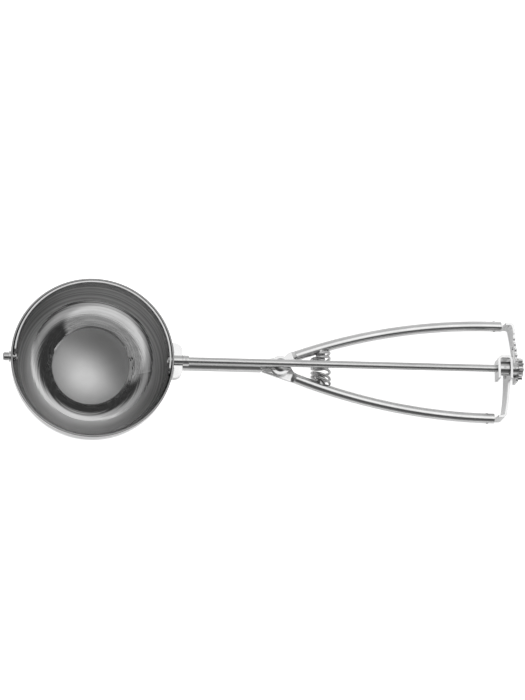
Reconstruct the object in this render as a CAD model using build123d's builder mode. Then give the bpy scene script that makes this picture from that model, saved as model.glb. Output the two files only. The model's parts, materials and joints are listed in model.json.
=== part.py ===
from build123d import *
from math import acos, asin, atan2, cos, degrees, pi, radians, sin, sqrt, tan
import os

# Lever ice cream scoop with squeeze handles, in millimetres.
# It lies as it does on a table: the bowl and the handle end both touch z = 0.
# The tool's own frame has x along the drive rod from the bowl's centre,
# y across the handles and z out of the bowl's mouth.

# Bowl
bowl_diameter = 79.2          # outside
bowl_wall = 1.0
collar_height = 2.6           # straight wall above the rod's axis
rim_round = 0.35              # leaves a flat land round the mouth
bush_wall = 0.6
bush_flange = 0.8

# Scraper blade and its pivots
blade_width = 8.0
blade_thickness = 0.8
blade_clearance = 0.3         # blade to bowl
blade_pin_diameter = 2.6
rivet_head_height = 1.2
rivet_bevel = 0.3
front_pin_head = 3.9
front_pin_bevel = 0.5
front_pin_length = 2.9        # stands out of the front bush

# Drive rod
rod_diameter = 3.6
sleeve_diameter = 4.8
sleeve_length = 4.2
front_collar_diameter = 5.2
front_collar_length = 3.0
cross_pin_diameter = 1.0

# Neck: bracket and tube that carry the bowl
bracket_width = 17.6
bracket_length = 4.3          # stands out from the bowl
socket_sink = 0.6             # socket's top above the lug's underside
bracket_corner = 4.0
socket_wall = 1.2
neck_diameter = 6.0
neck_wall = 0.8
press_lead = 9.6              # round tube ends this far ahead of the pivot
neck_press = 0.7

# Handles
pivot_reach = 92.6            # bowl centre to handle pivot
handle_drop = 8.0             # handle tubes below the rod
handle_diameter = 5.0
handle_wall = 0.7
hip_reach = 8.0               # tube start, from the pivot
hip_spread = 5.7
hip_angle = 20.5              # tube to the rod, at its start
tail_reach = 106.8            # end of the lower tube, from the pivot
flat_thickness = 1.5          # tubes pressed flat at the pivot
flat_width = 5.2
upper_flat_width = 3.8
eye_radius = 4.8
hip_press = 2.2
press_step = 0.05             # tube skin to the pressed part

# Pivot stack, from the rod down
pivot_diameter = 3.6
pivot_head_diameter = 6.6
pivot_head_height = 1.2
rod_gap = 0.6                 # rod to pivot head
washer_diameter = 8.0
washer_thickness = 0.4
face_gap = 0.1                # between flat faces that slide
frame_rivet_diameter = 2.4
frame_rivet_head = 3.6
frame_rivet_height = 0.9
frame_rivet_offset = 6.9      # ahead of the pivot
tang_reach = 8.8              # lower handle's plate, ahead of the pivot
tang_width = 5.6

# Return spring between the handles
spring_reach = 20.4           # from the pivot
spring_diameter = 10.2
spring_wire = 1.3
spring_turns = 4
spring_spread = 5.55          # spring's end to the rod's axis plane
seat_diameter = 4.6
seat_spread = 4.0             # seat's end to the rod's axis plane

# End plates: strips bent to arcs about the pivot
plate_thickness = 1.2
plate_width = 12.0
plate_reach = 6.5             # lower tube's end to the bearing plate
plate_gap = 3.6               # bearing plate to rack plate
corner_radius = 1.6
tongue_width = 3.1
tongue_length = 7.0           # inside the tube
tongue_rivet_diameter = 1.6
tongue_rivet_proud = 0.2
ear_width = 11.4              # bearing ear across the rod
ear_height = 9.2
ear_depth = 6.2               # wall to wall, along the rod
plate_tail = 4.8              # rack plate past the rod
bearing_tail = 3.6            # bearing plate past the rod, below the ear

# Rack and pinion
tooth_module = 0.9
pinion_teeth = 10
pinion_face = 2.2
pinion_hub_diameter = 5.6
pinion_hub_length = 3.0
pressure_angle = 20.0
gaps_before = 2               # rack's tooth gaps on the rod's far side at rest
rack_addendum = 0.7           # in modules
dedendum = 1.25               # in modules
backlash = 0.3
mesh_gap = 0.06
rear_collar_diameter = 7.0
rod_head_diameter = 5.0
rod_head_height = 0.6

# Guide stud in the rack plate's slot
stud_drop = 9.2               # below the rod's axis
stud_shift = 1.2              # from the rod towards the lower handle
stud_diameter = 2.6
stud_head_diameter = 4.0
stud_head_height = 1.2
slot_clearance = 0.3

running_gap = 0.1             # radial, shaft in its bearing
seat_gap = 0.02               # radial, between pieces fixed together

# Sizes that follow
bowl_radius = bowl_diameter / 2
bowl_bore = bowl_radius - bowl_wall
blade_radius = bowl_bore - blade_clearance
blade_inner = blade_radius - blade_thickness
blade_seat = sqrt(blade_inner**2 - (front_pin_head / 2) ** 2) - seat_gap
rod_radius = rod_diameter / 2
blade_rest_angle = degrees(asin(blade_width / 2 / blade_radius))
sweep_angle = 180 - 2 * blade_rest_angle
pitch_radius = tooth_module * pinion_teeth / 2
tip_radius = pitch_radius + tooth_module
root_radius = pitch_radius - dedendum * tooth_module
base_radius = pitch_radius * cos(radians(pressure_angle))
bearing_radius = tail_reach + plate_reach
rack_radius = bearing_radius + plate_thickness + plate_gap
rack_mid = rack_radius + plate_thickness / 2
squeeze_angle = sweep_angle * pitch_radius / rack_mid
rack_travel = radians(squeeze_angle) * rack_mid
rack_pitch_drop = pitch_radius + mesh_gap
rack_tip_drop = rack_pitch_drop - rack_addendum * tooth_module
tooth_pitch = pi * tooth_module
grip_radius = (tail_reach - hip_reach) / sin(radians(hip_angle))
tail_spread = hip_spread + grip_radius * (1 - cos(radians(hip_angle)))
tail_extra = rack_radius - bearing_radius
neck_end = pivot_reach - press_lead
bracket_thickness = handle_drop - neck_diameter / 2 - socket_wall + socket_sink
bearing_mid = bearing_radius + plate_thickness / 2
plate_low = handle_drop + plate_width / 2
plate_high = handle_drop - plate_width / 2
bearing_face = pivot_reach + bearing_radius + plate_thickness
pinion_start = bearing_face + face_gap
rod_end = pinion_start + pinion_hub_length + pinion_face + rod_head_height
head_top = -rod_radius - rod_gap
upper_eye_top = head_top - pivot_head_height - face_gap
washer_top = upper_eye_top - flat_thickness - face_gap
neck_flat_top = washer_top - washer_thickness
lower_flat_top = neck_flat_top - flat_thickness
stack_bottom = lower_flat_top - flat_thickness

# How the tool lies: bowl on the table, outer edge of the rack plate on the table
rest_reach = pivot_reach + rack_radius + plate_thickness
rest_radius = sqrt(rest_reach**2 + plate_low**2)
tilt = degrees(asin(bowl_radius / rest_radius) - atan2(plate_low, rest_reach))
front_reach = bowl_radius + bush_flange + front_pin_length
front_tip = front_pin_head / 2 - front_pin_bevel
front_end = -front_reach * cos(radians(tilt)) - front_tip * sin(radians(tilt))
rear_end = rod_end * cos(radians(tilt)) + rod_radius * sin(radians(tilt))
tool = Plane(
    origin=(-(front_end + rear_end) / 2, 0, bowl_radius),
    x_dir=(cos(radians(tilt)), 0, -sin(radians(tilt))),
    z_dir=(sin(radians(tilt)), 0, cos(radians(tilt))),
)


def level(z, x=0):
    """Plane parallel to the handles, at height z, with its origin x along the rod."""
    return Plane(tool.from_local_coords((x, 0, z)), x_dir=tool.x_dir, z_dir=tool.z_dir)


def station(x, y=0, z=0):
    """Plane square to the rod, drawn with y across and z up."""
    return Plane(tool.from_local_coords((x, y, z)), x_dir=tool.y_dir, z_dir=tool.x_dir)


def upright(y=0, x=0, z=0):
    """Plane along the rod, drawn with x along it and z up. Its normal is -y."""
    return Plane(tool.from_local_coords((x, y, z)), x_dir=tool.x_dir, z_dir=-tool.y_dir)


rod_axis = Axis(tool.origin, tool.x_dir)
mouth_axis = Axis(tool.origin, tool.z_dir)


# Bowl: hemisphere with a short straight collar and a rounded rim
with BuildPart() as bowl:
    with BuildSketch(upright()):
        with BuildLine():
            CenterArc((0, 0), bowl_radius, -90, 90)
            outer_wall = Line((bowl_radius, 0), (bowl_radius, collar_height - rim_round))
            outer_edge = RadiusArc(outer_wall @ 1, (bowl_radius - rim_round, collar_height), -rim_round)
            land = Line(outer_edge @ 1, (bowl_bore + rim_round, collar_height))
            inner_edge = RadiusArc(land @ 1, (bowl_bore, collar_height - rim_round), -rim_round)
            Line(inner_edge @ 1, (bowl_bore, 0))
            CenterArc((0, 0), bowl_bore, -90, 90)
            Line((0, -bowl_bore), (0, -bowl_radius))
        make_face()
    revolve(axis=mouth_axis)
    with BuildSketch(station(-bowl_radius - bowl_wall)):
        Circle(blade_pin_diameter / 2 + running_gap + bush_wall + seat_gap)
    extrude(amount=3 * bowl_wall, mode=Mode.SUBTRACT)
    with BuildSketch(station(bowl_bore - bowl_wall)):
        Circle(sleeve_diameter / 2 + seat_gap)
    extrude(amount=3 * bowl_wall, mode=Mode.SUBTRACT)

# Flanged bush in the front wall, where the blade's front pin turns
bush_bore = blade_pin_diameter / 2 + running_gap
with BuildPart() as front_bush:
    with BuildSketch(upright()):
        with BuildLine():
            Polyline(
                (-bowl_bore, bush_bore),
                (-bowl_bore, bush_bore + bush_wall),
                (-bowl_radius - seat_gap, bush_bore + bush_wall),
                (-bowl_radius - seat_gap, bush_bore + 2 * bush_wall),
                (-bowl_radius - bush_flange, bush_bore + 2 * bush_wall),
                (-bowl_radius - bush_flange, bush_bore),
                close=True,
            )
        make_face()
    revolve(axis=rod_axis)

# Scraper blade: a band of a sphere that hugs the bowl, with a round eye at each end
with BuildPart() as scraper_blade:
    with BuildSketch(upright()):
        Circle(blade_radius)
        Circle(blade_inner, mode=Mode.SUBTRACT)
        with Locations((-bowl_radius, 0)):
            Rectangle(2 * bowl_radius, 2 * bowl_radius, mode=Mode.SUBTRACT)
    revolve(axis=mouth_axis)
    with BuildSketch(station(0).rotated((0, 0, -blade_rest_angle))):
        Circle(blade_width / 2)
        with Locations((bowl_radius / 2, 0)):
            Rectangle(bowl_radius, blade_width)
    extrude(amount=bowl_radius, both=True, mode=Mode.INTERSECT)
    with BuildSketch(station(-bowl_radius)):
        Circle(blade_pin_diameter / 2 + seat_gap)
    extrude(amount=bowl_diameter, mode=Mode.SUBTRACT)

# Front pin: riveted through the blade's eye, turns in the bush
with BuildPart() as front_pin:
    front_head_start = -bowl_radius - bush_flange - face_gap
    with BuildSketch(upright()):
        with BuildLine():
            Polyline(
                (-blade_seat + rivet_head_height, 0),
                (-blade_seat + rivet_head_height, blade_pin_diameter / 2 - rivet_bevel),
                (-blade_seat + rivet_head_height / 2, front_pin_head / 2),
                (-blade_seat, front_pin_head / 2),
                (-blade_seat, blade_pin_diameter / 2),
                (front_head_start, blade_pin_diameter / 2),
                (front_head_start, front_pin_head / 2),
                (-front_reach + front_pin_bevel, front_pin_head / 2),
                (-front_reach, front_pin_head / 2 - front_pin_bevel),
                (-front_reach, 0),
                close=True,
            )
        make_face()
    revolve(axis=rod_axis)

# Drive rod: riveted into the blade at the front, carries the pinion at the rear
front_collar_start = bowl_radius + sleeve_length + face_gap
ear_wall_face = pivot_reach + bearing_mid - ear_depth + plate_thickness / 2
rear_collar_start = ear_wall_face + face_gap
rear_collar_length = pivot_reach + bearing_radius - ear_wall_face - 3 * face_gap
front_collar_middle = front_collar_start + front_collar_length / 2
rear_collar_middle = rear_collar_start + rear_collar_length / 2
pinion_pin_place = pinion_start + pinion_hub_length / 2
with BuildPart() as drive_rod:
    with BuildSketch(upright()):
        with BuildLine():
            Polyline(
                (blade_seat - rivet_head_height, 0),
                (blade_seat - rivet_head_height, blade_pin_diameter / 2 - rivet_bevel),
                (blade_seat - rivet_head_height / 2, front_pin_head / 2),
                (blade_seat, front_pin_head / 2),
                (blade_seat, blade_pin_diameter / 2),
                (blade_radius + seat_gap, blade_pin_diameter / 2),
                (blade_radius + seat_gap, rod_radius),
                (rod_end - rod_head_height, rod_radius),
                (rod_end - rod_head_height, rod_head_diameter / 2),
                (rod_end - rod_head_height / 3, rod_head_diameter / 2),
                (rod_end, rod_radius),
                (rod_end, 0),
                close=True,
            )
        make_face()
    revolve(axis=rod_axis)
    for place in (front_collar_middle, rear_collar_middle, pinion_pin_place):
        with BuildSketch(level(0, place)):
            Circle(cross_pin_diameter / 2 + seat_gap)
        extrude(amount=rod_diameter, both=True, mode=Mode.SUBTRACT)

# Sleeve in the bowl's rear wall, where the rod turns
with BuildPart() as rod_sleeve:
    with BuildSketch(station(bowl_bore)):
        Circle(sleeve_diameter / 2)
        Circle(rod_radius + running_gap, mode=Mode.SUBTRACT)
    extrude(amount=bowl_wall + sleeve_length)


def make_collar(start, length, diameter):
    """Collar on the rod, drilled across its middle for a pin."""
    with BuildPart() as collar:
        with BuildSketch(station(start)):
            Circle(diameter / 2)
            Circle(rod_radius + seat_gap, mode=Mode.SUBTRACT)
        extrude(amount=length)
        with BuildSketch(level(0, start + length / 2)):
            Circle(cross_pin_diameter / 2 + seat_gap)
        extrude(amount=diameter, both=True, mode=Mode.SUBTRACT)
    return collar


def make_cross_pin(place, length):
    """Pin across the rod, a little short of its collar's skin."""
    with BuildPart() as pin:
        with BuildSketch(level(-length / 2, place)):
            Circle(cross_pin_diameter / 2)
        extrude(amount=length)
    return pin


front_collar = make_collar(front_collar_start, front_collar_length, front_collar_diameter)
rear_collar = make_collar(rear_collar_start, rear_collar_length, rear_collar_diameter)
front_collar_pin = make_cross_pin(front_collar_middle, front_collar_diameter)
rear_collar_pin = make_cross_pin(rear_collar_middle, rear_collar_diameter)
pinion_pin = make_cross_pin(pinion_pin_place, pinion_hub_diameter)

# Neck tube: round to its rear end, then pressed flat into a plate with the pivot's eye
with BuildPart() as neck_tube:
    tube_start = sqrt(bowl_radius**2 - handle_drop**2) + neck_wall
    with BuildSketch(station(tube_start, z=-handle_drop)):
        Circle(neck_diameter / 2)
        Circle(neck_diameter / 2 - neck_wall, mode=Mode.SUBTRACT)
    extrude(amount=neck_end - tube_start)
    with BuildSketch(station(neck_end, z=-handle_drop)):
        Circle(neck_diameter / 2 - press_step)
    with BuildSketch(station(neck_end + neck_press, z=neck_flat_top - flat_thickness / 2)):
        Rectangle(flat_width, flat_thickness)
    loft()
    flat_start = neck_end + neck_press - pivot_reach
    with BuildSketch(level(neck_flat_top - flat_thickness, pivot_reach)):
        Circle(eye_radius)
        with Locations((flat_start, 0)):
            Rectangle(flat_thickness, flat_width, align=(Align.MIN, Align.CENTER))
        make_hull()
    extrude(amount=flat_thickness)
    with BuildSketch(level(stack_bottom, pivot_reach)):
        Circle(pivot_diameter / 2 + seat_gap)
        with Locations((-frame_rivet_offset, 0)):
            Circle(frame_rivet_diameter / 2 + seat_gap)
    extrude(amount=3 * flat_thickness, mode=Mode.SUBTRACT)

# Bracket brazed to the bowl: a rounded lug with a groove for the sleeve and a socket for the tube
with BuildPart() as bowl_bracket:
    bracket_end = bowl_radius + bracket_length
    with BuildSketch(level(-bracket_thickness)):
        with Locations((bracket_end / 2, 0)):
            RectangleRounded(bracket_end, bracket_width, bracket_corner)
    extrude(amount=bracket_thickness)
    with BuildSketch(station(0, z=-handle_drop)):
        Circle(neck_diameter / 2 + socket_wall)
    extrude(amount=bracket_end - socket_wall)
    with BuildSketch(upright()):
        with BuildLine():
            CenterArc((0, 0), bowl_radius + seat_gap, -90, 180)
            Line((0, bowl_radius + seat_gap), (0, -bowl_radius - seat_gap))
        make_face()
    revolve(axis=mouth_axis, mode=Mode.SUBTRACT)
    with BuildSketch(station(bowl_bore - bowl_wall)):
        Circle(sleeve_diameter / 2 + seat_gap)
        with Locations((0, -handle_drop)):
            Circle(neck_diameter / 2 + seat_gap)
    extrude(amount=bracket_length + 3 * bowl_wall, mode=Mode.SUBTRACT)


def grip_spread(reach):
    """Distance from the rod to a handle tube's centre line, at this distance from the pivot."""
    return tail_spread - grip_radius + sqrt(grip_radius**2 - (tail_reach - reach) ** 2)


def hip_way(side):
    """Direction of a handle tube at its start."""
    return tool.x_dir * cos(radians(hip_angle)) + tool.y_dir * side * sin(radians(hip_angle))


def handle_line(side, tail_more=0):
    """Centre line of a handle tube: one arc, then straight for tail_more."""
    ends = ((hip_reach, side * hip_spread), (tail_reach, side * tail_spread))
    with BuildLine(level(-handle_drop, pivot_reach)) as spine:
        grip = TangentArc(*ends, tangent=hip_way(side))
        if tail_more:
            Line(grip @ 1, grip @ 1 + tool.x_dir * tail_more)
    return spine.wires()[0]


def make_handle(side, flat_top, width, tail_more, pivot_gap):
    """Handle tube from its flat eye at the pivot to its open rear end. side is +1 or -1."""
    slope = radians(hip_angle)
    hip = (hip_reach, side * hip_spread)
    press_start = (hip_reach - hip_press * cos(slope), side * (hip_spread - hip_press * sin(slope)))
    along = hip_way(side)
    across = tool.z_dir.cross(along)
    plan = level(-handle_drop, pivot_reach)
    flat_plan = level(flat_top - flat_thickness / 2, pivot_reach)
    rivet_place = pivot_reach + tail_reach + tail_more - tongue_length / 2
    with BuildPart() as handle:
        with BuildSketch(Plane(plan.from_local_coords(hip), x_dir=across, z_dir=along)):
            Circle(handle_diameter / 2)
            Circle(handle_diameter / 2 - handle_wall, mode=Mode.SUBTRACT)
        sweep(path=handle_line(side, tail_more))
        with BuildSketch(Plane(flat_plan.from_local_coords(press_start), x_dir=across, z_dir=along)):
            Rectangle(width, flat_thickness)
        with BuildSketch(Plane(plan.from_local_coords(hip), x_dir=across, z_dir=along)):
            Circle(handle_diameter / 2 - press_step)
        loft()
        with BuildSketch(level(flat_top - flat_thickness, pivot_reach)):
            Circle(width / 2 if side > 0 else eye_radius)
            with Locations(Location(press_start, side * hip_angle)):
                Rectangle(flat_thickness, width, align=(Align.MAX, Align.CENTER))
            if side < 0:
                with Locations((-tang_reach, 0)):
                    Rectangle(flat_thickness, tang_width, align=(Align.MIN, Align.CENTER))
            make_hull()
            Circle(eye_radius)
        extrude(amount=flat_thickness)
        with BuildSketch(level(flat_top - 2 * flat_thickness, pivot_reach)):
            Circle(pivot_diameter / 2 + pivot_gap)
            if side < 0:
                with Locations((-frame_rivet_offset, 0)):
                    Circle(frame_rivet_diameter / 2 + seat_gap)
        extrude(amount=3 * flat_thickness, mode=Mode.SUBTRACT)
        with BuildSketch(upright(side * tail_spread, rivet_place, -handle_drop)):
            Circle(tongue_rivet_diameter / 2 + seat_gap)
        extrude(amount=handle_diameter, both=True, mode=Mode.SUBTRACT)
    return handle


upper_handle = make_handle(1, upper_eye_top, upper_flat_width, tail_extra, running_gap)
lower_handle = make_handle(-1, lower_flat_top, flat_width, 0, seat_gap)

# Pivot rivet, its washer, and the rivet that locks the lower handle to the neck
pivot_axis = Axis(level(0, pivot_reach).origin, tool.z_dir)
with BuildPart() as pivot_rivet:
    shoulder = head_top - pivot_head_height
    foot = stack_bottom - seat_gap
    with BuildSketch(upright(x=pivot_reach)):
        with BuildLine():
            top_edge = (pivot_head_diameter / 2, shoulder + pivot_head_height / 3)
            bottom_edge = (pivot_head_diameter / 2, foot - pivot_head_height / 3)
            TangentArc((0, head_top), top_edge, tangent=(1, 0))
            Polyline(
                top_edge,
                (pivot_head_diameter / 2, shoulder),
                (pivot_diameter / 2, shoulder),
                (pivot_diameter / 2, foot),
                (pivot_head_diameter / 2, foot),
                bottom_edge,
            )
            TangentArc((0, foot - pivot_head_height), bottom_edge, tangent=(1, 0))
            Line((0, foot - pivot_head_height), (0, head_top))
        make_face()
    revolve(axis=pivot_axis)

with BuildPart() as pivot_washer:
    with BuildSketch(level(neck_flat_top, pivot_reach)):
        Circle(washer_diameter / 2)
        Circle(pivot_diameter / 2 + seat_gap, mode=Mode.SUBTRACT)
    extrude(amount=washer_thickness)

with BuildPart() as frame_rivet:
    with BuildSketch(level(neck_flat_top + seat_gap, pivot_reach - frame_rivet_offset)):
        Circle(frame_rivet_head / 2)
    extrude(amount=frame_rivet_height)
    with BuildSketch(level(neck_flat_top + seat_gap, pivot_reach - frame_rivet_offset)):
        Circle(frame_rivet_diameter / 2)
    extrude(amount=-2 * flat_thickness - 2 * seat_gap)
    with BuildSketch(level(stack_bottom - seat_gap, pivot_reach - frame_rivet_offset)):
        Circle(frame_rivet_head / 2)
    extrude(amount=-frame_rivet_height)
    ends = frame_rivet.faces().sort_by(mouth_axis)
    chamfer(ends[0].edges() + ends[-1].edges(), frame_rivet_height / 3)

# Return spring across the handles, and the peg on each handle that holds its end
spring_length = 2 * spring_spread
with BuildPart() as handle_spring:
    coil_radius = (spring_diameter - spring_wire) / 2
    coil_length = spring_length - spring_wire
    coil_start = tool.from_local_coords((pivot_reach + spring_reach, -coil_length / 2, -handle_drop))
    with BuildLine() as coil:
        Helix(coil_length / spring_turns, coil_length, coil_radius, center=coil_start, direction=tool.y_dir)
    with BuildSketch(Plane(coil.line @ 0, z_dir=coil.line % 0)):
        Circle(spring_wire / 2)
    sweep(path=coil.line, is_frenet=True)


def make_seat(side):
    """Peg brazed to a handle tube, inside the end of the spring."""
    peg_end = tool.from_local_coords((pivot_reach + spring_reach, side * seat_spread, -handle_drop))
    hip = level(-handle_drop, pivot_reach).from_local_coords((hip_reach, side * hip_spread))
    with BuildPart() as seat:
        with BuildSketch(Plane(peg_end, x_dir=tool.x_dir, z_dir=tool.y_dir * side)):
            Circle(seat_diameter / 2)
        extrude(amount=grip_spread(spring_reach) - seat_spread - handle_wall)
        with BuildSketch(Plane(hip, z_dir=hip_way(side))):
            Circle(handle_diameter / 2 + seat_gap)
        sweep(path=handle_line(side), mode=Mode.SUBTRACT)
    return seat


upper_spring_seat = make_seat(1)
lower_spring_seat = make_seat(-1)


def radial(radius, angle, z):
    """Plane square to a radius from the pivot, drawn with x round the arc and z up."""
    way = Vector(cos(angle), sin(angle))
    origin = level(z, pivot_reach).from_local_coords((radius * way.X, radius * way.Y))
    around = tool.y_dir * way.X - tool.x_dir * way.Y
    return Plane(origin, x_dir=around, z_dir=tool.x_dir * way.X + tool.y_dir * way.Y)


def make_plate(side, radius, tube_end, tail_end, height, more_bends=()):
    """Strip bent to an arc about the pivot, with a tongue that goes into its handle tube.

    tail_end is where the arc stops past the rod. more_bends are further corners of the
    strip's path after the arc, and its end."""
    middle = radius + plate_thickness / 2
    corner = (sqrt(middle**2 - tail_spread**2), side * tail_spread)
    tail = (sqrt(middle**2 - tail_end**2), -side * tail_end)
    rivet_place = pivot_reach + tube_end - tongue_length / 2
    with BuildPart() as plate:
        with BuildSketch(level(-plate_low, pivot_reach)):
            with BuildLine() as strip:
                Line((tube_end + plate_thickness, side * tail_spread), corner)
                ThreePointArc(corner, (middle, 0), tail)
                if more_bends:
                    Polyline(tail, *more_bends)
                for bend in (corner, tail, *more_bends)[: 1 + len(more_bends)]:
                    fillet(strip.vertices().sort_by_distance(bend)[0], corner_radius)
            trace(line_width=plate_thickness)
        extrude(amount=height)
        with BuildSketch(level(-handle_drop - tongue_width / 2, pivot_reach)):
            with Locations((tube_end - tongue_length, side * tail_spread)):
                tongue = tongue_length + 2 * plate_thickness
                Rectangle(tongue, plate_thickness, align=(Align.MIN, Align.CENTER))
        extrude(amount=tongue_width)
        with BuildSketch(upright(side * tail_spread, rivet_place, -handle_drop)):
            Circle(tongue_rivet_diameter / 2 + seat_gap)
        extrude(amount=handle_diameter, both=True, mode=Mode.SUBTRACT)
    return plate


# Bearing plate on the lower handle, with an ear folded into a box that carries the rod
fold_spread = (ear_width - plate_thickness) / 2
fold_reach = bearing_mid - ear_depth
fold_bends = ((fold_reach, fold_spread), (fold_reach, -ear_width / 2))
blank_height = plate_low + ear_height / 2
bearing_blank = make_plate(-1, bearing_radius, tail_reach, fold_spread, blank_height, fold_bends)
with BuildPart() as bearing_plate:
    add(bearing_blank.part)
    with BuildSketch(station(pivot_reach + tail_reach - tongue_length)):
        with Locations((-ear_width / 2, -plate_high)):
            Rectangle(2 * tail_spread, plate_width, align=(Align.MAX, Align.MIN))
        with Locations((bearing_tail, -ear_height / 2)):
            Rectangle(ear_width, plate_width, align=(Align.MIN, Align.MAX))
    extrude(amount=tail_reach, mode=Mode.SUBTRACT)
    with BuildSketch(level(-plate_low, pivot_reach + bearing_radius - plate_thickness / 2)):
        Rectangle(ear_depth + plate_thickness, ear_width + plate_thickness, align=(Align.MAX, Align.CENTER))
    extrude(amount=plate_low - ear_height / 2, mode=Mode.SUBTRACT)
    with BuildSketch(station(pivot_reach + fold_reach - plate_thickness)):
        Circle(rod_radius + running_gap)
    extrude(amount=ear_depth + 3 * plate_thickness, mode=Mode.SUBTRACT)
    with BuildSketch(station(pivot_reach + bearing_radius - plate_thickness, -stud_shift, -stud_drop)):
        Circle(stud_diameter / 2 + seat_gap)
    extrude(amount=3 * plate_thickness, mode=Mode.SUBTRACT)

# Rack plate on the upper handle: teeth in its lowered top edge, and the stud's slot
rack_blank = make_plate(1, rack_radius, tail_reach + tail_extra, plate_tail, plate_width)
slot_start = -stud_shift / rack_mid
slot_end = slot_start + radians(squeeze_angle)
rack_end_angle = radians(squeeze_angle) + (tip_radius + slot_clearance) / rack_mid
slot_width = stud_diameter + 2 * slot_clearance
last_gap = int((rack_travel + tip_radius) / tooth_pitch)
lean = tan(radians(pressure_angle))
half_gap = tooth_pitch / 4 + backlash / 4
gap_depth = dedendum * tooth_module
with BuildPart() as rack_plate:
    add(rack_blank.part)
    with BuildSketch(level(-rack_tip_drop, pivot_reach)):
        with BuildLine():
            CenterArc((0, 0), rack_mid, -2 * squeeze_angle, 2 * squeeze_angle + degrees(rack_end_angle))
        trace(line_width=3 * plate_thickness)
    extrude(amount=plate_width, mode=Mode.SUBTRACT)
    for gap in range(-gaps_before, last_gap):
        gap_angle = (gap + 1 / 2) * tooth_pitch / rack_mid
        with BuildSketch(radial(rack_radius - plate_thickness, gap_angle, -rack_pitch_drop)):
            with BuildLine():
                Polyline(
                    (half_gap + tooth_module * lean, tooth_module),
                    (half_gap - gap_depth * lean, -gap_depth),
                    (gap_depth * lean - half_gap, -gap_depth),
                    (-half_gap - tooth_module * lean, tooth_module),
                    close=True,
                )
            make_face()
        extrude(amount=3 * plate_thickness, mode=Mode.SUBTRACT)
    with BuildSketch(level(-stud_drop - slot_width / 2, pivot_reach)):
        with BuildLine():
            CenterArc((0, 0), rack_mid, degrees(slot_start), squeeze_angle)
        trace(line_width=3 * plate_thickness)
    extrude(amount=slot_width, mode=Mode.SUBTRACT)
    for angle in (slot_start, slot_end):
        with BuildSketch(radial(rack_radius - plate_thickness, angle, -stud_drop)):
            Circle(slot_width / 2)
        extrude(amount=3 * plate_thickness, mode=Mode.SUBTRACT)


def flank(side):
    """Points up one flank of a pinion tooth that points along +x: radial, then involute."""
    pitch_half = (tooth_pitch - backlash) / 2 / pitch_radius / 2
    slope = radians(pressure_angle)
    steps = 4
    points = []
    for step in range(steps + 1):
        radius = base_radius + (tip_radius - base_radius) * step / steps
        roll = acos(base_radius / radius)
        angle = side * (pitch_half + tan(slope) - slope - tan(roll) + roll)
        points.append((radius * cos(angle), radius * sin(angle)))
    return points


# Pinion on the rod's end, with a gap straight down so that it is in mesh at rest
with BuildSketch() as tooth:
    with BuildLine():
        Spline(flank(1))
        Spline(flank(-1))
        ThreePointArc(flank(1)[-1], (tip_radius, 0), flank(-1)[-1])
        Polyline(flank(1)[0], (0, 0), flank(-1)[0])
    make_face()

with BuildPart() as pinion:
    with BuildSketch(station(pinion_start + pinion_hub_length)):
        Circle(root_radius)
        with PolarLocations(0, pinion_teeth, start_angle=180 / pinion_teeth - 90):
            add(tooth.sketch)
        Circle(rod_radius + seat_gap, mode=Mode.SUBTRACT)
    extrude(amount=pinion_face)
    with BuildSketch(station(pinion_start)):
        Circle(pinion_hub_diameter / 2)
        Circle(rod_radius + seat_gap, mode=Mode.SUBTRACT)
    extrude(amount=pinion_hub_length)
    with BuildSketch(level(0, pinion_pin_place)):
        Circle(cross_pin_diameter / 2 + seat_gap)
    extrude(amount=pinion_hub_diameter, both=True, mode=Mode.SUBTRACT)


def make_tongue_rivet(side, tube_end):
    """Small rivet through a handle tube and the tongue inside it."""
    length = handle_diameter + 2 * tongue_rivet_proud
    rivet_place = pivot_reach + tube_end - tongue_length / 2
    with BuildPart() as rivet:
        with BuildSketch(upright(side * tail_spread, rivet_place, -handle_drop)):
            Circle(tongue_rivet_diameter / 2)
        extrude(amount=length / 2, both=True)
        chamfer(rivet.edges().filter_by(GeomType.CIRCLE), tongue_rivet_proud)
    return rivet


upper_plate_rivet = make_tongue_rivet(1, tail_reach + tail_extra)
lower_plate_rivet = make_tongue_rivet(-1, tail_reach)

# Guide stud: riveted in the bearing plate, it holds the rack plate up to the pinion
with BuildPart() as guide_stud:
    stud_start = pivot_reach + bearing_radius - face_gap / 2
    stud_head_start = pivot_reach + rack_radius + plate_thickness + slot_clearance
    with BuildSketch(upright(-stud_shift, z=-stud_drop)):
        with BuildLine():
            Polyline(
                (stud_start - stud_head_height / 2, 0),
                (stud_start - stud_head_height / 2, stud_diameter / 2),
                (stud_start, stud_head_diameter / 2),
                (stud_start, stud_diameter / 2),
                (stud_head_start, stud_diameter / 2),
                (stud_head_start, stud_head_diameter / 2),
                (stud_head_start + stud_head_height / 2, stud_head_diameter / 2),
                (stud_head_start + stud_head_height, stud_diameter / 2),
                (stud_head_start + stud_head_height, 0),
                close=True,
            )
        make_face()
    revolve(axis=Axis(station(0, -stud_shift, -stud_drop).origin, tool.x_dir))

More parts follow.
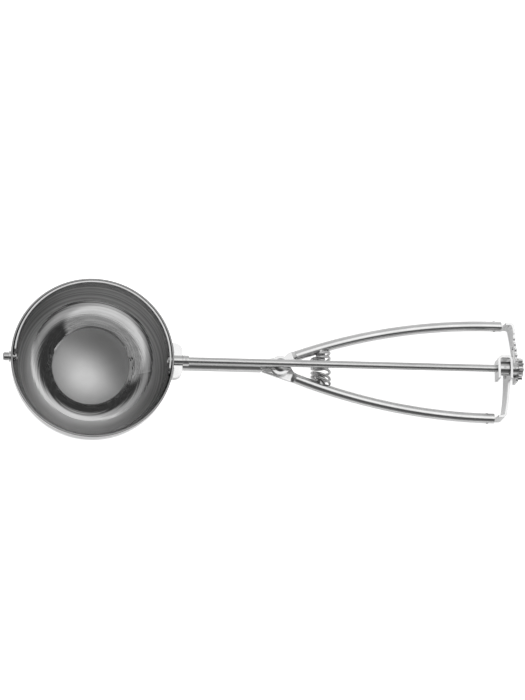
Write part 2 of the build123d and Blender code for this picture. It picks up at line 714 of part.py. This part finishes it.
# Write every piece under its own name
pieces = {
    "bowl": bowl,
    "front_bush": front_bush,
    "rod_sleeve": rod_sleeve,
    "bowl_bracket": bowl_bracket,
    "neck_tube": neck_tube,
    "lower_handle": lower_handle,
    "pivot_rivet": pivot_rivet,
    "pivot_washer": pivot_washer,
    "frame_rivet": frame_rivet,
    "lower_spring_seat": lower_spring_seat,
    "bearing_plate": bearing_plate,
    "lower_plate_rivet": lower_plate_rivet,
    "guide_stud": guide_stud,
    "handle_spring": handle_spring,
    "upper_handle": upper_handle,
    "upper_spring_seat": upper_spring_seat,
    "rack_plate": rack_plate,
    "upper_plate_rivet": upper_plate_rivet,
    "drive_rod": drive_rod,
    "scraper_blade": scraper_blade,
    "front_pin": front_pin,
    "front_collar": front_collar,
    "front_collar_pin": front_collar_pin,
    "rear_collar": rear_collar,
    "rear_collar_pin": rear_collar_pin,
    "pinion": pinion,
    "pinion_pin": pinion_pin,
}
os.makedirs("parts", exist_ok=True)
for name, piece in pieces.items():
    piece.part.label = name
    export_step(piece.part, f"parts/{name}.step")
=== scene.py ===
import json
import bmesh
import bpy
import numpy as np
from mathutils import Matrix, Vector


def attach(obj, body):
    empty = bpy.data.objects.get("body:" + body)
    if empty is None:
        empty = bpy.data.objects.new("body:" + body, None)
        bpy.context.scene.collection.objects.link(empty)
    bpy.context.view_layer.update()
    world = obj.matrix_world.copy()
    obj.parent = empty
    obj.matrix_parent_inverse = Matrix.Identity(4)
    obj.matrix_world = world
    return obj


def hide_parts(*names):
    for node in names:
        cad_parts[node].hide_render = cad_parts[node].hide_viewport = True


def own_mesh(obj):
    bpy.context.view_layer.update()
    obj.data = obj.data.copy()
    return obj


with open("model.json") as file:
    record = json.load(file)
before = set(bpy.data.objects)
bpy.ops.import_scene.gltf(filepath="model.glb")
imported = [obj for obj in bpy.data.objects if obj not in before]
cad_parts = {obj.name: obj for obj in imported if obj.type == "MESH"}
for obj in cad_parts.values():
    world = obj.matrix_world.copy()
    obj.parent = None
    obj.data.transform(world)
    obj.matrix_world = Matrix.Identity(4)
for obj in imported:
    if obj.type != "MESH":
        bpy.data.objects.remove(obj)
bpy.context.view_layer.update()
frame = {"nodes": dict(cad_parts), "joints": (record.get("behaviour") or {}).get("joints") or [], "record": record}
nodes = frame["nodes"]
metre = 1000  # in millimetres, the unit of the sizes below where no note names another
print("stage: frame loaded")


def linear(hexColour):
    # sRGB hex to linear, channel by channel
    channels = [int(hexColour[i:i + 2], 16) / 255 for i in (1, 3, 5)]
    return [c / 12.92 if c <= 0.04045 else ((c + 0.055) / 1.055) ** 2.4 for c in channels] + [1.0]


def addNode(tree, kind, settings=None, **links):
    # one node; each link is named by its input, or in0, in1 by number, and is a socket or a plain value
    node = tree.nodes.new(kind)
    for key, value in (settings or {}).items():
        setattr(node, key, value)
    for key, value in links.items():
        numbered = key.startswith("in") and key[2:].isdigit()
        socket = node.inputs[int(key[2:])] if numbered else node.inputs[key.replace("_", " ")]
        if isinstance(value, bpy.types.NodeSocket):
            tree.links.new(value, socket)
        else:
            socket.default_value = value
    return node


# The tool's own frame: x along the rod, y across the handles, z out of the bowl's mouth
squeezeJoint, turnJoint = frame["joints"]
rodWay, mouthWay = -Vector(turnJoint["axis"]), -Vector(squeezeJoint["axis"])
sideWay = mouthWay.cross(rodWay)
bowlCentre = Vector(turnJoint["pos_m"])
toolTurn = Matrix((rodWay, sideWay, mouthWay)).transposed()
pivotReach = (Vector(squeezeJoint["pos_m"]) - bowlCentre).dot(rodWay) * metre
print("stage: tool frame, pivot", round(pivotReach, 2), "mm from the bowl's centre")


def toWorld(points):
    # millimetres in the tool's frame to metres in the world
    return np.asarray(points) @ np.array(toolTurn).T / metre + np.array(bowlCentre)


# Steel finishes, one for each material slot: grain is the size of the maker's marks along the rod, across it
# and up, relief is their depth, edge is how far a sharp edge is eased
steelFinishes = {
    "bowl_steel": {  # spun and buffed: close to a mirror, with faint rings, whose depth polishBowl gives
        "name": "spunBuffedStainlessBowl", "colour": "#dadada", "dull": "#d2d2d2", "roughness": 0.01,
        "spread": 0.01, "grain": (8, 8, 8), "relief": 1.0, "edge": 0.0},
    "blade_steel": {  # rolled strip: fine lines and a soft sheen
        "name": "rolledStainlessBlade", "colour": "#c2c2c2", "dull": "#acacac", "roughness": 0.16,
        "spread": 0.07, "grain": (2.5, 2.5, 0.25), "relief": 0.004, "edge": 0.15},
    "rod_steel": {  # drawn and polished: long lines, which widen each highlight
        "name": "drawnPolishedRod", "colour": "#d0d0d0", "dull": "#c0c0c0", "roughness": 0.24,
        "spread": 0.06, "grain": (14, 0.3, 0.3), "relief": 0.003, "edge": 0.15},
    "spring_steel": {  # drawn wire: an even, slightly broken shine
        "name": "drawnSpringWire", "colour": "#cdcdcd", "dull": "#b0b0b0", "roughness": 0.17,
        "spread": 0.08, "grain": (0.8, 0.8, 0.8), "relief": 0.004, "edge": 0.0},
    "tube_steel": {  # polished tube: bright bands along its length
        "name": "polishedStainlessTube", "colour": "#dedede", "dull": "#d0d0d0", "roughness": 0.16,
        "spread": 0.05, "grain": (18, 0.5, 0.5), "relief": 0.002, "edge": 0.15},
    "plate_steel": {  # strip tumbled after folding: soft sheen and eased edges
        "name": "tumbledStainlessStrip", "colour": "#dedede", "dull": "#cccccc", "roughness": 0.17,
        "spread": 0.08, "grain": (0.6, 6, 0.4), "relief": 0.004, "edge": 0.2},
    "turned_steel": {  # turned bar: fine grooves round its axis
        "name": "turnedStainlessBar", "colour": "#d4d4d4", "dull": "#bcbcbc", "roughness": 0.15,
        "spread": 0.07, "grain": (0.18, 9, 9), "relief": 0.005, "edge": 0.15},
    "rivet_steel": {  # headed wire: an uneven, slightly dented shine
        "name": "headedRivetSteel", "colour": "#c8c8c8", "dull": "#a6a6a6", "roughness": 0.15,
        "spread": 0.08, "grain": (0.9, 0.9, 0.9), "relief": 0.006, "edge": 0.12},
}
# Handling leaves patches on all of them: their noise and a share of the marks' noise set the roughness
wear = {"patchesPerMetre": 55.0, "patchDetail": 5.0, "patchContrast": 0.65, "markDetail": 4.0,
        "markContrast": 0.6, "markShare": 0.7, "smoothest": 0.55, "roughest": 1.15,
        "bright": 0.35, "dull": 0.7}
# The bowl's own marks and its painted shade: angles are in degrees, heights are from the rod's axis
bowlPolish = {
    "wallRadius": 39.0, "wallFade": 0.2,  # a sphere within the wall, which parts the inside from the outside
    "ringWidth": 1.6, "ringDetail": 3.0, "ringRelief": 0.022,
    "nickSpacing": 12.0, "nickShare": 0.06, "nickRelief": 0.03,  # the share of the spacing that a nick takes
    "satinWay": (0.03, 0.13, -0.99), "satinStart": 31.0, "satinEnd": 28.5, "satinRoughness": 0.43,
    # painted shade: a grey in streaks on the inside wall between these heights darkens its reflections
    "wallShadeLow": -27.0, "wallShadeHigh": -12.0, "streakLow": 0.36, "streakHigh": 0.62, "wallShadeColour": "#9c9c9c",
    # painted shade: a darker grey on the rim dulls its highlight
    "rimHeight": 2.6, "rimDepth": 0.3, "rimShadeColour": "#8c8c8c"}


def polishBowl(tree, place, roughness, paint):
    # spinning leaves rings, noise along the angle from the lowest point, and knocks leave nicks, dips round
    # scattered points; their sum is the height
    parts = addNode(tree, "ShaderNodeSeparateXYZ", None, Vector=place)
    flat = addNode(tree, "ShaderNodeCombineXYZ", None, X=parts.outputs["X"], Y=parts.outputs["Y"])
    away = addNode(tree, "ShaderNodeVectorMath", {"operation": "LENGTH"}, in0=flat.outputs["Vector"])
    down = addNode(tree, "ShaderNodeMath", {"operation": "MULTIPLY"}, in0=parts.outputs["Z"], in1=-1.0)
    angle = addNode(tree, "ShaderNodeMath", {"operation": "ARCTAN2"}, in0=away.outputs["Value"],
                    in1=down.outputs["Value"])
    turns = addNode(tree, "ShaderNodeMath", {"operation": "MULTIPLY"}, in0=angle.outputs["Value"],
                    in1=bowlPolish["wallRadius"] / bowlPolish["ringWidth"])
    rings = addNode(tree, "ShaderNodeTexNoise", {"noise_dimensions": "1D"}, W=turns.outputs["Value"],
                    Scale=1.0, Detail=bowlPolish["ringDetail"]).outputs["Fac"]
    nickPlace = addNode(tree, "ShaderNodeTexVoronoi", {"feature": "F1"}, Vector=place,
                        Scale=metre / bowlPolish["nickSpacing"])
    nicks = addNode(tree, "ShaderNodeMapRange", {"interpolation_type": "SMOOTHSTEP"},
                    Value=nickPlace.outputs["Distance"], in1=0.0, in2=bowlPolish["nickShare"],
                    in3=-bowlPolish["nickRelief"], in4=0.0)
    height = addNode(tree, "ShaderNodeMath", {"operation": "MULTIPLY_ADD"}, in0=rings,
                     in1=bowlPolish["ringRelief"], in2=nicks.outputs["Result"]).outputs["Value"]

    # a round patch near the lowest part of the inside keeps a satin finish
    fromMiddle = addNode(tree, "ShaderNodeVectorMath", {"operation": "LENGTH"}, in0=place)
    inside = addNode(tree, "ShaderNodeMapRange", None, Value=fromMiddle.outputs["Value"],
                     in1=bowlPolish["wallRadius"] / metre,
                     in2=(bowlPolish["wallRadius"] + bowlPolish["wallFade"]) / metre,
                     in3=1.0, in4=0.0).outputs["Result"]
    outward = addNode(tree, "ShaderNodeVectorMath", {"operation": "NORMALIZE"}, in0=place)
    satinDot = addNode(tree, "ShaderNodeVectorMath", {"operation": "DOT_PRODUCT"},
                       in0=outward.outputs["Vector"], in1=Vector(bowlPolish["satinWay"]).normalized())
    satin = addNode(tree, "ShaderNodeMapRange", {"interpolation_type": "SMOOTHSTEP"},
                    Value=satinDot.outputs["Value"], in1=np.cos(np.radians(bowlPolish["satinStart"])),
                    in2=np.cos(np.radians(bowlPolish["satinEnd"])), in3=0.0,
                    in4=bowlPolish["satinRoughness"])
    roughness = addNode(tree, "ShaderNodeMath", {"operation": "MULTIPLY_ADD"}, in0=satin.outputs["Result"],
                        in1=inside, in2=roughness).outputs["Value"]

    # painted shade: a grey in streaks darkens the inside wall towards the rim, not the floor, to darken its
    # reflections, and a darker grey on the rim is painted shade that dulls the rim's highlight
    wall = addNode(tree, "ShaderNodeMapRange", {"interpolation_type": "SMOOTHSTEP"},
                   Value=parts.outputs["Z"], in1=bowlPolish["wallShadeLow"] / metre,
                   in2=bowlPolish["wallShadeHigh"] / metre).outputs["Result"]
    streaks = addNode(tree, "ShaderNodeMapRange", None, Value=rings, in1=bowlPolish["streakLow"],
                      in2=bowlPolish["streakHigh"]).outputs["Result"]
    onWall = addNode(tree, "ShaderNodeMath", {"operation": "MULTIPLY"}, in0=wall, in1=inside)
    paintedWallShade = addNode(tree, "ShaderNodeMath", {"operation": "MULTIPLY"}, in0=onWall.outputs["Value"],
                   in1=streaks)
    paint = addNode(tree, "ShaderNodeMix", {"data_type": "RGBA"}, in0=paintedWallShade.outputs["Value"], in6=paint,
                    in7=linear(bowlPolish["wallShadeColour"])).outputs[2]
    # painted shade on the rim, over its highlight
    rim = addNode(tree, "ShaderNodeMapRange", None, Value=parts.outputs["Z"],
                  in1=(bowlPolish["rimHeight"] - bowlPolish["rimDepth"]) / metre,
                  in2=(bowlPolish["rimHeight"] - bowlPolish["rimDepth"] / 2) / metre).outputs["Result"]
    paint = addNode(tree, "ShaderNodeMix", {"data_type": "RGBA"}, in0=rim, in6=paint,
                    in7=linear(bowlPolish["rimShadeColour"])).outputs[2]
    return roughness, paint, height


def makeSteel(slot, finish):
    # stainless steel is a neutral grey mirror; its roughness wanders with the maker's marks and with handling
    material = bpy.data.materials.new(finish["name"])
    material.use_nodes = True
    tree = material.node_tree
    tree.nodes.clear()
    coordinates = addNode(tree, "ShaderNodeTexCoord")
    place = addNode(tree, "ShaderNodeMapping", {"vector_type": "TEXTURE"},
                    Vector=coordinates.outputs["Object"], Location=bowlCentre,
                    Rotation=toolTurn.to_euler()).outputs["Vector"]
    stretch = addNode(tree, "ShaderNodeMapping", {"vector_type": "POINT"}, Vector=place,
                      Scale=[metre / size for size in finish["grain"]])
    marks = addNode(tree, "ShaderNodeTexNoise", None, Vector=stretch.outputs["Vector"], Scale=1.0,
                    Detail=wear["markDetail"], Roughness=wear["markContrast"]).outputs["Fac"]
    patches = addNode(tree, "ShaderNodeTexNoise", None, Vector=place, Scale=wear["patchesPerMetre"],
                      Detail=wear["patchDetail"], Roughness=wear["patchContrast"]).outputs["Fac"]
    both = addNode(tree, "ShaderNodeMath", {"operation": "MULTIPLY_ADD"}, in0=marks,
                   in1=wear["markShare"], in2=patches)
    roughness = addNode(tree, "ShaderNodeMapRange", None, Value=both.outputs["Value"],
                        in1=wear["smoothest"], in2=wear["roughest"],
                        in3=finish["roughness"] - finish["spread"] / 2,
                        in4=finish["roughness"] + finish["spread"]).outputs["Result"]
    dulling = addNode(tree, "ShaderNodeMapRange", None, Value=patches, in1=wear["bright"],
                      in2=wear["dull"])
    paint = addNode(tree, "ShaderNodeMix", {"data_type": "RGBA"}, in0=dulling.outputs["Result"],
                    in6=linear(finish["colour"]), in7=linear(finish["dull"])).outputs[2]
    height = marks
    if slot == "bowl_steel":
        roughness, paint, height = polishBowl(tree, place, roughness, paint)
    shader = addNode(tree, "ShaderNodeBsdfPrincipled", None, Metallic=1.0, Base_Color=paint,
                     Roughness=roughness)
    relief = addNode(tree, "ShaderNodeBump", None, Strength=1.0, Distance=finish["relief"] / metre,
                     Height=height)
    if finish["edge"]:
        eased = addNode(tree, "ShaderNodeBevel", {"samples": 4}, Radius=finish["edge"] / metre)
        tree.links.new(eased.outputs["Normal"], relief.inputs["Normal"])
    tree.links.new(relief.outputs["Normal"], shader.inputs["Normal"])
    addNode(tree, "ShaderNodeOutputMaterial", None, Surface=shader.outputs["BSDF"])
    return material


steels = {slot: makeSteel(slot, finish) for slot, finish in steelFinishes.items()}
for part in frame["record"]["subparts"]:
    mesh = nodes[part["node"]].data
    for index in range(len(mesh.materials)):
        mesh.materials[index] = steels[part["material_slot"]]
print("stage: steels on the CAD pieces")


def addPiece(name, grid, slot, wrapAlong=False, body="frame"):
    # a grid of points, rows along the path and columns round it, joined into quads; the columns always wrap,
    # and rows that don't wrap are closed by a face at each end
    rows, columns = grid.shape[:2]
    row = np.arange(rows if wrapAlong else rows - 1)[:, None]
    column = np.arange(columns)[None, :]
    nextRow, nextColumn = (row + 1) % rows, (column + 1) % columns
    quads = np.stack([row * columns + column, row * columns + nextColumn, nextRow * columns + nextColumn,
                      nextRow * columns + column], axis=-1).reshape(-1, 4).tolist()
    if not wrapAlong:
        quads += [list(range(columns))[::-1], list(range((rows - 1) * columns, rows * columns))]
    mesh = bpy.data.meshes.new(name)
    mesh.from_pydata(toWorld(grid.reshape(-1, 3)).tolist(), [], quads)
    shell = bmesh.new()
    shell.from_mesh(mesh)
    bmesh.ops.recalc_face_normals(shell, faces=shell.faces)
    shell.to_mesh(mesh)
    shell.free()
    mesh.polygons.foreach_set("use_smooth", np.array([len(f.vertices) == 4 for f in mesh.polygons]))
    piece = bpy.data.objects.new(name, mesh)
    bpy.context.scene.collection.objects.link(piece)
    mesh.materials.append(steels[slot])
    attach(piece, body)
    return piece


def unit(vectors):
    # each vector divided by its length
    return vectors / np.linalg.norm(vectors, axis=-1, keepdims=True)


def roundAlong(path, outward, radius, sides):
    # a round wire along a path: each point of the path plus the radius times the cosine of an angle along
    # the outward way and its sine across both that way and the path
    along = unit(np.gradient(path, axis=0))
    outward = unit(outward - along * np.sum(outward * along, axis=1, keepdims=True))
    across = np.cross(along, outward)
    angle = np.linspace(0, 2 * np.pi, sides, endpoint=False)[None, :, None]
    ring = np.cos(angle) * outward[:, None, :] + np.sin(angle) * across[:, None, :]
    return path[:, None, :] + np.reshape(radius, (-1, 1, 1)) * ring


# Return spring: its end coils lie close against the handle tubes, so it fans out away from the pivot. The
# slope is the tubes', half is half the spring's length at its middle, keep is the share left when squeezed.
returnSpring = {"reach": 20.4, "drop": 8.0, "half": 7.28, "slope": 0.322, "radius": 4.45, "wire": 1.3,
                "turns": 5.3, "closedTurns": 0.6, "easedTurns": 0.5, "stepsPerTurn": 60, "sides": 20,
                "keep": 0.835, "anchor": 6.6}
turn = np.linspace(0, returnSpring["turns"], int(returnSpring["turns"] * returnSpring["stepsPerTurn"]))
fromEnd = np.minimum(turn, returnSpring["turns"] - turn) - returnSpring["closedTurns"]
opening = np.clip(fromEnd / returnSpring["easedTurns"], 0, 1)
opening = opening * opening * (3 - 2 * opening)  # a smooth step from closed to open turns
narrow = returnSpring["half"] - returnSpring["wire"] / 2 - returnSpring["slope"] * returnSpring["radius"]
closedShare = returnSpring["wire"] / narrow / 2 * returnSpring["turns"]
rise = np.cumsum(opening) / np.sum(opening)
share = -1 + 2 * (closedShare * turn / returnSpring["turns"] + (1 - closedShare) * rise)
phase = 2 * np.pi * turn
radial = np.stack([np.cos(phase), 0 * phase, np.sin(phase)], axis=1)
middle = np.array([pivotReach + returnSpring["reach"], 0, -returnSpring["drop"]])
coil = middle + returnSpring["radius"] * radial
wedge = returnSpring["half"] - returnSpring["wire"] / 2 + returnSpring["slope"] * (coil[:, 0] - middle[0])
coil[:, 1] = share * wedge
wire = roundAlong(coil, radial, returnSpring["wire"] / 2, returnSpring["sides"])
springPiece = addPiece("returnSpring", wire, "spring_steel")
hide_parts("handle_spring")
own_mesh(springPiece)
print("stage: return spring")

# Brazed joints: a fillet round the neck tube at its socket, and a bead where the lug meets the bowl. A ripple
# is its share of the bead's radius, its rate in radians for each millimetre and its start in radians.
braze = {"bowlRadius": 39.6, "lugHalf": 8.8, "lugUnder": 4.4, "grooveHalf": 2.8, "socketEnd": 42.7,
         "socketRadius": 4.2, "drop": 8.0, "tubeRadius": 3.0,
         "fillet": 0.9, "sunk": 0.1, "offTube": 0.05, "hollowSteps": 9, "filletSides": 64,
         "bead": 0.42, "arcSteps": 60, "beadSteps": 260, "soften": 9, "beadSides": 14,
         "taper": 1.2, "thinnest": 0.15, "ripples": ((0.08, 2.1, 0.0), (0.05, 5.3, 1.0))}


def turnedRing(profile, centre, sides):
    # a closed profile of distance along the rod and radius, turned about a line along the rod
    angle = np.linspace(0, 2 * np.pi, sides, endpoint=False)[:, None]
    along, away = profile[None, :, 0] + 0 * angle, profile[None, :, 1]
    return np.stack([along, centre[0] + away * np.cos(angle), centre[1] + away * np.sin(angle)], axis=-1)


sweep = np.linspace(0, np.pi / 2, braze["hollowSteps"])
hollow = np.stack([braze["socketEnd"] + braze["fillet"] * (1 - np.cos(sweep)),
                   braze["tubeRadius"] + braze["fillet"] * (1 - np.sin(sweep))], axis=1)
foot = np.array([[braze["socketEnd"] - braze["sunk"], braze["tubeRadius"] + braze["offTube"]],
                 [braze["socketEnd"] - braze["sunk"], braze["tubeRadius"] + braze["fillet"]]])
filletRing = turnedRing(np.concatenate([hollow, foot]), (0, -braze["drop"]), braze["filletSides"])
addPiece("neckBrazeFillet", filletRing, "tube_steel", wrapAlong=True)

# The bead follows the outline of lug and socket, seen along the rod, laid on the bowl's sphere
socketTop = np.arcsin((braze["drop"] - braze["lugUnder"]) / braze["socketRadius"])
arcAngle = np.linspace(socketTop, -np.pi - socketTop, braze["arcSteps"])
socketArc = np.stack([braze["socketRadius"] * np.cos(arcAngle),
                      -braze["drop"] + braze["socketRadius"] * np.sin(arcAngle)], axis=1)
lugSide = np.array([[braze["grooveHalf"], 0], [braze["lugHalf"], 0], [braze["lugHalf"], -braze["lugUnder"]]])
outline = np.concatenate([lugSide, socketArc, (lugSide * [-1, 1])[::-1]])
walked = np.concatenate([[0], np.cumsum(np.linalg.norm(np.diff(outline, axis=0), axis=1))])
even = np.linspace(0, walked[-1], braze["beadSteps"])
outline = np.stack([np.interp(even, walked, outline[:, 0]), np.interp(even, walked, outline[:, 1])], axis=1)
padded = np.pad(outline, ((braze["soften"] // 2, braze["soften"] // 2), (0, 0)), mode="edge")
outline = np.mean(np.lib.stride_tricks.sliding_window_view(padded, braze["soften"], axis=0), axis=-1)
onBowl = np.sqrt(braze["bowlRadius"] ** 2 - np.sum(outline ** 2, axis=1))
seam = np.column_stack([onBowl, outline])
taper = np.clip(np.minimum(even, even[-1] - even) / braze["taper"], braze["thinnest"], 1)
ripple = 1 + sum(size * np.sin(even * rate + start) for size, rate, start in braze["ripples"])
bead = roundAlong(seam, unit(seam), braze["bead"] * taper * ripple, braze["beadSides"])
addPiece("lugBrazeBead", bead, "tube_steel")
print("stage: brazed joints")

# Table, in metres
table = {"size": 6.0, "colour": "#f2f2f2", "liftSeen": 0.8, "liftMirrored": 0.35}


def makeLaminate():
    # matt white laminate scatters the tent's light evenly; it is lifted to white for the camera, so that only
    # a faint shadow stays, and less so for mirror rays
    material = bpy.data.materials.new("mattWhiteLaminate")
    material.use_nodes = True
    tree = material.node_tree
    tree.nodes.clear()
    surface = addNode(tree, "ShaderNodeBsdfDiffuse", None, Color=linear(table["colour"]))
    rays = addNode(tree, "ShaderNodeLightPath")
    mirrored = addNode(tree, "ShaderNodeMath", {"operation": "MULTIPLY"}, in0=rays.outputs["Is Glossy Ray"],
                       in1=table["liftMirrored"])
    lift = addNode(tree, "ShaderNodeMath", {"operation": "MULTIPLY_ADD"},
                   in0=rays.outputs["Is Camera Ray"], in1=table["liftSeen"], in2=mirrored.outputs["Value"])
    glow = addNode(tree, "ShaderNodeEmission", None, Strength=lift.outputs["Value"])
    total = addNode(tree, "ShaderNodeAddShader", None, in0=surface.outputs["BSDF"],
                    in1=glow.outputs["Emission"])
    addNode(tree, "ShaderNodeOutputMaterial", None, Surface=total.outputs["Shader"])
    return material


half = table["size"] / 2
corners = [(-half, -half, 0), (half, -half, 0), (half, half, 0), (-half, half, 0)]
tableMesh = bpy.data.meshes.new("tableTop")
tableMesh.from_pydata(corners, [], [(0, 1, 2, 3)])
tableMesh.materials.append(makeLaminate())
tableTop = bpy.data.objects.new("tableTop", tableMesh)
bpy.context.scene.collection.objects.link(tableTop)
print("stage: table")

# Light tent: a pale sheet over the far right half, a lamp above it near the top, the dark studio at the near
# left, and a pale strip just above the table, which is weaker towards the near side. Starts and ends are
# cosines of the angle from the way that is named, and the other numbers are levels of light.
tent = {"base": 0.13, "sheet": 0.72, "sheetWay": (0.66, 0.75, 0.0), "sheetStart": -0.07, "sheetEnd": 0.09,
        "lamp": 0.78, "lampWay": (0.21, 0.14, 0.96), "lampStart": 0.86, "lampEnd": 0.945,
        "strip": 0.85, "stripWay": (0, 0, 1), "stripStart": 0.38, "stripEnd": 0.52,
        "gapLeft": 0.38, "gapWay": (0, 1, 0), "gapStart": -0.95, "gapEnd": -0.5, "backdrop": 1.0}


def fadeAlong(tree, way, name, near, far):
    # a smooth step of the cosine between the view's way and the tent's named way, from one level to another
    dot = addNode(tree, "ShaderNodeVectorMath", {"operation": "DOT_PRODUCT"}, in0=way,
                  in1=Vector(tent[name + "Way"]).normalized())
    return addNode(tree, "ShaderNodeMapRange", {"interpolation_type": "SMOOTHSTEP"},
                   Value=dot.outputs["Value"], in1=tent[name + "Start"], in2=tent[name + "End"],
                   in3=near, in4=far).outputs["Result"]


def pitchTent():
    # the brighter of sheet with lamp and of the strip with its gap; the camera sees plain white
    world = bpy.data.worlds.new("lightTent")
    world.use_nodes = True
    tree = world.node_tree
    tree.nodes.clear()
    way = addNode(tree, "ShaderNodeTexCoord").outputs["Generated"]
    sheet = fadeAlong(tree, way, "sheet", tent["base"], tent["base"] + tent["sheet"])
    lamp = fadeAlong(tree, way, "lamp", 0.0, tent["lamp"])
    strip = fadeAlong(tree, way, "strip", tent["strip"], 0.0)
    gap = fadeAlong(tree, way, "gap", tent["gapLeft"], 1.0)
    above = addNode(tree, "ShaderNodeMath", {"operation": "ADD"}, in0=sheet, in1=lamp)
    around = addNode(tree, "ShaderNodeMath", {"operation": "MULTIPLY"}, in0=strip, in1=gap)
    level = addNode(tree, "ShaderNodeMath", {"operation": "MAXIMUM"}, in0=above.outputs["Value"],
                    in1=around.outputs["Value"])
    tentLight = addNode(tree, "ShaderNodeBackground", None, Strength=level.outputs["Value"])
    backdrop = addNode(tree, "ShaderNodeBackground", None, Color=linear("#ffffff"),
                       Strength=tent["backdrop"])
    rays = addNode(tree, "ShaderNodeLightPath")
    choice = addNode(tree, "ShaderNodeMixShader", None, in0=rays.outputs["Is Camera Ray"],
                     in1=tentLight.outputs["Background"], in2=backdrop.outputs["Background"])
    addNode(tree, "ShaderNodeOutputWorld", None, Surface=choice.outputs["Shader"])
    return world


bpy.context.scene.world = pitchTent()
print("stage: light tent")

# Camera: seen from above, a little from the near side. Angles are in degrees, distance and target in metres,
# and targetPx is where the target lies in a frame of that many pixels.
camera = {"elevation": 75.7, "azimuth": -0.27, "distance": 1.3, "pxPerMm": 2.037, "target": (0, 0, 0.025),
          "targetPx": (265.98, 364.85), "frame": (525, 700), "sensor": 36.0, "clip": (0.01, 50)}
elevation, azimuth = np.radians(camera["elevation"]), np.radians(camera["azimuth"])
back = Vector((np.sin(azimuth) * np.cos(elevation), -np.cos(azimuth) * np.cos(elevation), np.sin(elevation)))
right = Vector((np.cos(azimuth), np.sin(azimuth), 0))
up = back.cross(right)
pxPerMetre = camera["pxPerMm"] * metre
offset = [(camera["targetPx"][0] - camera["frame"][0] / 2) / pxPerMetre,
          (camera["frame"][1] / 2 - camera["targetPx"][1]) / pxPerMetre]
eye = bpy.data.cameras.new("camera")
eye.sensor_width = camera["sensor"]
eye.lens = camera["sensor"] * pxPerMetre * camera["distance"] / max(camera["frame"])
eye.clip_start, eye.clip_end = camera["clip"]
eyeHolder = bpy.data.objects.new("camera", eye)
eyePlace = Vector(camera["target"]) + back * camera["distance"]
eyeHolder.location = eyePlace - right * offset[0] - up * offset[1]
eyeHolder.rotation_euler = Matrix((right, up, back)).transposed().to_euler()
bpy.context.scene.collection.objects.link(eyeHolder)
bpy.context.scene.camera = eyeHolder
bpy.context.scene.view_settings.view_transform = "Standard"
print("stage: camera")
